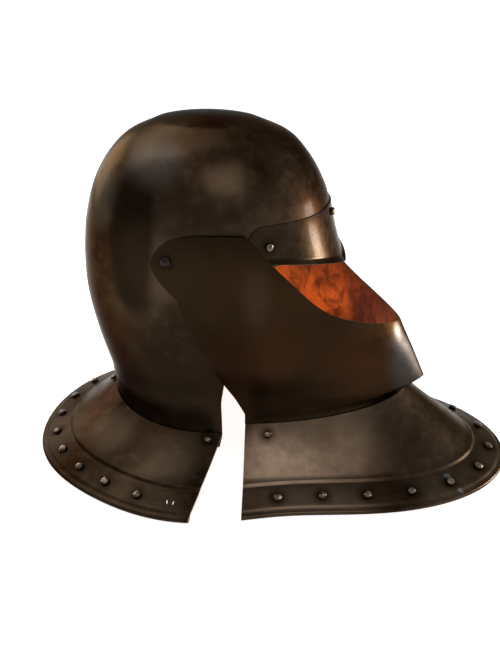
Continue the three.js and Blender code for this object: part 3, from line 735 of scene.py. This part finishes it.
def bronze_shell(name, bm, body, slot, nodes, thickness, outside=None):
    """Gives a bent grid its wall, its rusty inside and its filed bright edges."""
    middle = Vector((AXIS_X * MM, 0, PIVOT_Z * MM))
    if sum(face.normal.dot(face.calc_center_median() - middle) for face in bm.faces) < 0:
        bmesh.ops.reverse_faces(bm, faces=bm.faces[:])
    piece = finish_object(name, bm, body, slot, nodes, ("copper_rust_inside", "worn_edge"), outside)
    wall = piece.modifiers.new("wall", "SOLIDIFY")
    wall.thickness = thickness
    wall.offset = -1
    wall.material_offset = 1
    wall.material_offset_rim = 2
    wall.use_even_offset = False
    edge = piece.modifiers.new("edge", "BEVEL")
    edge.width = bpy.context.scene.helmet_sizes.edge_round
    edge.segments = 2
    edge.limit_method = "ANGLE"
    edge.angle_limit = math.radians(62)
    edge.harden_normals = True
    return piece


# Operators, one for each piece or group of like pieces
class HELMET_OT_skull(bpy.types.Operator):
    """Raise the skull with its face opening and neck flange"""
    bl_idname = "helmet.skull"
    bl_label = "Skull"

    def execute(self, context):
        sizes = context.scene.helmet_sizes
        sheet = sizes.sheet / MM
        drop = UNDER_GAP + sheet * UNDERSIDE

        def face_angle(height):
            rise = clamp((height - NECK_SIDE_Z) / (FACE_TOP - NECK_SIDE_Z))
            front = skull_reach(height)[0]
            slant = FACE_SLANT * clamp((height - NECK_SIDE_Z) / (FACE_STRAIGHT - NECK_SIDE_Z))
            straight = math.acos((FACE_X - AXIS_X + slant + FACE_LEAN * rise) / front)
            return straight * (1 - rise**7) ** 0.5

        flange_share = 0.04

        def place(u, v):
            wall = clamp((v - flange_share) / (1 - flange_share))
            if wall <= 0.5:
                height = mix(0, FACE_TOP, math.sin(math.pi * wall) ** 0.9)
            else:
                height = mix(FACE_TOP, CROWN_Z, math.sin(math.pi * (wall - 0.5)))
            start = face_angle(height) if height < FACE_TOP else 0
            angle = mix(start, 2 * math.pi - start, u)
            neck = skull_neck_z(angle)
            height = max(neck - drop + height * (1 - (neck - drop) / FACE_TOP), 0) if wall <= 0.5 else height
            point = skull_point(angle, height)
            if v < flange_share:
                out = (flange_share - v) / flange_share * FLANGE
                way_round = (angle - REAR_NECK_CORNER) / (2 * math.pi - 2 * REAR_NECK_CORNER)
                point += Vector((math.cos(angle), math.sin(angle), 0)) * out
                point.x = min(point.x, FACE_X)
                point.z = min(flange_z(rear_station(clamp(way_round), sheet), out, sheet), point.z)
            return point

        bm = grid_mesh(160, 100, place)
        bmesh.ops.remove_doubles(bm, verts=bm.verts[:], dist=0.00002)
        bmesh.ops.dissolve_degenerate(bm, dist=0.00002, edges=bm.edges[:])
        bmesh.ops.recalc_face_normals(bm, faces=bm.faces[:])
        mark_shadow_patina_rings(bm, rivets_near("brow", "pivot"), sizes.shadow_patina_ring)
        smooth_faces(bm, 50)
        bronze_shell("skull_shell", bm, "headpiece", "bronzed_steel", ["skull"], sizes.sheet,
                     "antiqued_skull")
        return {"FINISHED"}


class HELMET_OT_brow(bpy.types.Operator):
    """Bend the brow plate round the forehead and turn out its lower edge"""
    bl_idname = "helmet.brow"
    bl_label = "Brow plate"

    def execute(self, context):
        sizes = context.scene.helmet_sizes

        def place(u, v):
            across = 2 * u - 1
            return brow_point(BROW_ANGLE * (1.5 * across - 0.5 * across**3), v, sizes.brow_lip / MM)

        bm = grid_mesh(110, 36, place)
        mark_shadow_patina_rings(bm, rivets_near("brow"), sizes.shadow_patina_ring)
        smooth_faces(bm, 50)
        bronze_shell("brow_plate_shell", bm, "headpiece", "brow_steel", ["brow_plate"], sizes.brow_sheet)
        return {"FINISHED"}


class HELMET_OT_bevor(bpy.types.Operator):
    """Form the bevor with its arms, its prow and its neck flange"""
    bl_idname = "helmet.bevor"
    bl_label = "Bevor"

    def execute(self, context):
        sizes = context.scene.helmet_sizes
        sheet = sizes.sheet / MM
        drop = UNDER_GAP + sheet * UNDERSIDE
        ridge = UNDER_GAP + RIDGE_RISE
        foot_rises = [-drop, -drop * 0.4, UNDER_GAP * 0.3, UNDER_GAP]
        foot_rises += [mix(UNDER_GAP, ridge, k / 5) for k in range(1, 6)]
        rows, flange_rows = 92, 4
        foot_row = flange_rows + len(foot_rises) - 1

        def place(u, v):
            side = u * 2 - 1
            neck_angle = BEVOR_CORNER * side
            low = bevor_neck_z(neck_angle)
            row = round(v * rows)
            if row < flange_rows:
                out = (1 - row / flange_rows) * FLANGE
                point = bevor_point(neck_angle, low - drop, sheet)
                point += Vector((math.cos(neck_angle), math.sin(neck_angle), 0)) * out
                point.z = min(flange_z(front_station((side + 1) / 2, sheet), out, sheet), point.z)
                return point
            top = bevor_edge(1 - abs(side))[1]
            if row <= foot_row:
                rise = foot_rises[row - flange_rows]
                share = max(rise / (top - low), 0)
                point = bevor_surface(side, share, sheet)
                if rise < 0:
                    point = bevor_point(neck_angle, low + rise, sheet)
                return point
            share = mix(ridge / (top - low), 1, (row - foot_row) / (rows - foot_row))
            return bevor_surface(side, share, sheet)

        bm = grid_mesh(170, rows, place)
        mark_shadow_patina_rings(bm, rivets_near("pivot"), sizes.shadow_patina_ring)
        smooth_faces(bm, 28)
        bronze_shell("bevor_shell", bm, "chin_guard", "bronzed_steel", ["bevor"], sizes.sheet,
                     "darkened_bevor")
        return {"FINISHED"}


class HELMET_OT_gorgets(bpy.types.Operator):
    """Form the front and rear gorget plates with their sunk borders and rolled hems"""
    bl_idname = "helmet.gorgets"
    bl_label = "Gorget plates"

    def execute(self, context):
        sizes = context.scene.helmet_sizes
        sheet, hem = sizes.sheet / MM, sizes.hem / MM
        for name, station, body in (
            ("gorget_rear", rear_station, "headpiece"),
            ("gorget_front", front_station, "chin_guard"),
        ):
            stations = 150
            ways = [station(i / stations, sheet) for i in range(stations + 1)]
            sections = [plate_section(neck, rim, sheet, hem) for neck, rim in ways]
            corners = len(sections[0][0])
            upper = sections[0][1]

            def place(u, v):
                points = sections[round(u * stations)][0]
                return points[round(v * corners) % corners]

            bm = grid_mesh(stations, corners, place)
            bmesh.ops.remove_doubles(bm, verts=bm.verts[:], dist=0.000005)
            ends = [edge for edge in bm.edges if len(edge.link_faces) == 1]
            caps = bmesh.ops.holes_fill(bm, edges=ends, sides=0)["faces"]
            bmesh.ops.recalc_face_normals(bm, faces=bm.faces[:])
            for face in bm.faces:
                if face.normal.z < -0.25 and face.calc_center_median().z > hem * MM:
                    face.material_index = 1
            for face in caps:
                if face.is_valid:
                    face.material_index = 2
            bmesh.ops.triangulate(bm, faces=[face for face in caps if face.is_valid])
            mark_shadow_patina_rings(bm, rivets_near(name, name.split("_")[1]), sizes.shadow_patina_ring)
            smooth_faces(bm, 42)
            finish_object(name + "_plate", bm, body, "bronzed_steel", [name],
                          ("copper_rust_inside", "worn_edge"))
        return {"FINISHED"}


class HELMET_OT_rivets(bpy.types.Operator):
    """Hammer the rivets' domed heads on their straight shanks"""
    bl_idname = "helmet.rivets"
    bl_label = "Rivets"

    def execute(self, context):
        for number, name in enumerate(RIVET_NODES):
            top, axis, length = RIVETS[name]
            chance = random.Random(number)
            kind = "pivot" if "pivot" in name else "border" if "gorget" in name else "small"
            radius = RIVET_RADIUS[kind]
            shank = SHANK["pivot" if kind == "pivot" else "other"] / radius
            tail = length / MM
            profile = [*HEAD_PROFILE, (shank, -HEAD_HEIGHT), (shank, -tail), (0.0, -tail)]
            bm = bmesh.new()
            verts = [bm.verts.new((r * radius * MM, 0, z * MM)) for r, z in profile]
            edges = [bm.edges.new(pair) for pair in zip(verts, verts[1:])]
            bmesh.ops.spin(bm, geom=verts + edges, cent=(0, 0, 0), axis=(0, 0, 1), angle=2 * math.pi,
                           steps=24, use_merge=True)
            bmesh.ops.remove_doubles(bm, verts=bm.verts[:], dist=0.00001)
            bmesh.ops.recalc_face_normals(bm, faces=bm.faces[:])
            # Painted shade: each head darkens towards its rim, where the dome's sides turn away from the
            # light.
            shadow_patina_ring = bm.verts.layers.float.new("shadow_patina_ring")
            for vert in bm.verts:
                vert[shadow_patina_ring] = smoothstep(vert.co.xy.length / (radius * MM), 0.75, 0.97)
            blows = []
            for _ in range(HAMMER_BLOWS):
                turn, lean = chance.uniform(0, 2 * math.pi), chance.uniform(0.15, 1.0)
                blows.append((Vector((math.cos(turn) * lean, math.sin(turn) * lean, 1.1)).normalized(),
                              chance.uniform(2.7, 3.1)))
            foot = Vector((0, 0, HEAD_HEIGHT * MM))
            for vert in bm.verts:
                if vert.co.z > -HEAD_HEIGHT * MM * 0.9:
                    local = vert.co + foot
                    for way, depth in blows:
                        past = local.dot(way) - depth * MM * (1 + 0.25 * (1 - way.z))
                        if past > 0:
                            local -= way * past * 0.8
                    vert.co = local - foot
            stand = Vector((0, 0, 1)).rotation_difference(axis).to_matrix().to_4x4()
            bmesh.ops.transform(bm, matrix=Matrix.Translation(top) @ stand, verts=bm.verts[:])
            smooth_faces(bm, 35)
            slot = "pivot_steel" if "pivot" in name else "rivet_steel"
            body = "chin_guard" if name.startswith(("gorget_front", "front_neck")) else "headpiece"
            finish_object(name + "_head", bm, body, slot, [name])
        return {"FINISHED"}


class HELMET_OT_stage(bpy.types.Operator):
    """Set the pale floor, the studio light and the camera"""
    bl_idname = "helmet.stage"
    bl_label = "Stage"

    def execute(self, context):
        scene = context.scene
        colours = scene.helmet_colours
        bm = bmesh.new()
        bmesh.ops.create_grid(bm, x_segments=1, y_segments=1, size=6)
        mesh = bpy.data.meshes.new("pale_floor")
        bm.to_mesh(mesh)
        bm.free()
        floor = bpy.data.objects.new("pale_floor", mesh)
        scene.collection.objects.link(floor)
        material, tree, shader = new_material("pale_floor")
        shader.inputs["Base Color"].default_value = (*colours.floor, 1)
        shader.inputs["Roughness"].default_value = 0.9
        shader.inputs["Emission Color"].default_value = (1, 1, 1, 1)
        shader.inputs["Emission Strength"].default_value = 0.7
        mesh.materials.append(material)

        world = bpy.data.worlds.new("studio")
        world.use_nodes = True
        backdrop = world.node_tree.nodes["Background"]
        backdrop.inputs["Color"].default_value = (1, 1, 1, 1)
        backdrop.inputs["Strength"].default_value = 0.45
        scene.world = world
        scene.view_settings.view_transform = "Standard"
        target = Vector(CAMERA_TARGET) * MM
        for name, place, size, power in LIGHTS:
            light = bpy.data.lights.new(name, "AREA")
            light.energy = power
            light.size = size * MM
            lamp = bpy.data.objects.new(name, light)
            lamp.location = Vector(place) * MM
            lamp.rotation_euler = (target - lamp.location).to_track_quat("-Z", "Y").to_euler()
            scene.collection.objects.link(lamp)

        glow = bpy.data.lights.new("inside_glow", "POINT")
        glow.energy = 0.26
        glow.shadow_soft_size = 0.03
        inside = bpy.data.objects.new("inside_glow", glow)
        inside.location = Vector((-55, 10, 180)) * MM
        inside.visible_camera = False
        scene.collection.objects.link(inside)

        view = bpy.data.cameras.new("photo_view")
        view.lens = CAMERA_LENS
        view.sensor_width = SENSOR
        camera = bpy.data.objects.new("photo_view", view)
        camera.location = Vector(CAMERA_PLACE) * MM
        camera.rotation_euler = (target - camera.location).to_track_quat("-Z", "Y").to_euler()
        scene.collection.objects.link(camera)
        scene.camera = camera
        return {"FINISHED"}


class HELMET_PT_panel(bpy.types.Panel):
    """The helmet's pieces, listed"""
    bl_idname = "HELMET_PT_panel"
    bl_label = "Close Helmet"
    bl_space_type = "VIEW_3D"
    bl_region_type = "UI"
    bl_category = "Helmet"

    def draw(self, context):
        for prop in ("sheet", "brow_sheet", "hem", "brow_lip", "edge_round", "shadow_patina_ring"):
            self.layout.prop(context.scene.helmet_sizes, prop)
        for operator in OPERATORS:
            self.layout.operator(operator.bl_idname)


OPERATORS = (
    HELMET_OT_stage,
    HELMET_OT_skull,
    HELMET_OT_brow,
    HELMET_OT_bevor,
    HELMET_OT_gorgets,
    HELMET_OT_rivets,
)
CLASSES = (HelmetSizes, HelmetColours, *OPERATORS, HELMET_PT_panel)


def register():
    for cls in CLASSES:
        bpy.utils.register_class(cls)
    bpy.types.Scene.helmet_sizes = bpy.props.PointerProperty(type=HelmetSizes)
    bpy.types.Scene.helmet_colours = bpy.props.PointerProperty(type=HelmetColours)


def unregister():
    del bpy.types.Scene.helmet_colours
    del bpy.types.Scene.helmet_sizes
    for cls in reversed(CLASSES):
        bpy.utils.unregister_class(cls)


def main():
    register()
    bpy.ops.helmet.stage()
    bpy.ops.helmet.skull()
    bpy.ops.helmet.brow()
    bpy.ops.helmet.bevor()
    bpy.ops.helmet.gorgets()
    bpy.ops.helmet.rivets()


if __name__ == "__main__":
    main()
